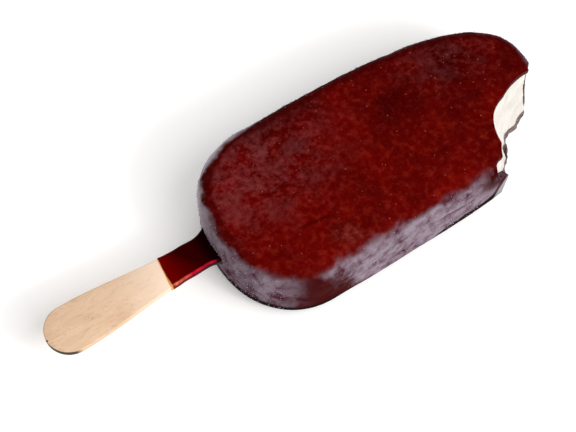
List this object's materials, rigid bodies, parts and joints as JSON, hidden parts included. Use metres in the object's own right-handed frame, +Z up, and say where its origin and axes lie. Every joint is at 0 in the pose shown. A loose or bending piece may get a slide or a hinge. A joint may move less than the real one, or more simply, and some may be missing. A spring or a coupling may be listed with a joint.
{
  "type": "ice cream bar",
  "caption": "Chocolate-coated slab of vanilla ice cream on a flat wooden stick, lying on its back, with one corner of its tip bitten off.",
  "frame": {"origin": "below the middle of the whole length, on the surface that the bar lies on", "axes": "+X along the bar from the stick's free end to the tip, +Z up out of the shown face, +Y to the left seen from above with the tip ahead"},
  "size_m": [0.1584, 0.052, 0.025],
  "materials": {
    "chocolate": "dark red-brown chocolate with a bloom of frost on its side wall, glossy on the stick's neck",
    "ice_cream": "smooth vanilla ice cream, softly scraped by teeth at the bite",
    "wood": "pale sanded birch with faint brown grain"
  },
  "bodies": {
    "root": {"chocolate_coating": "chocolate", "ice_cream": "ice_cream", "stick": "wood"}
  },
  "joints": []
}
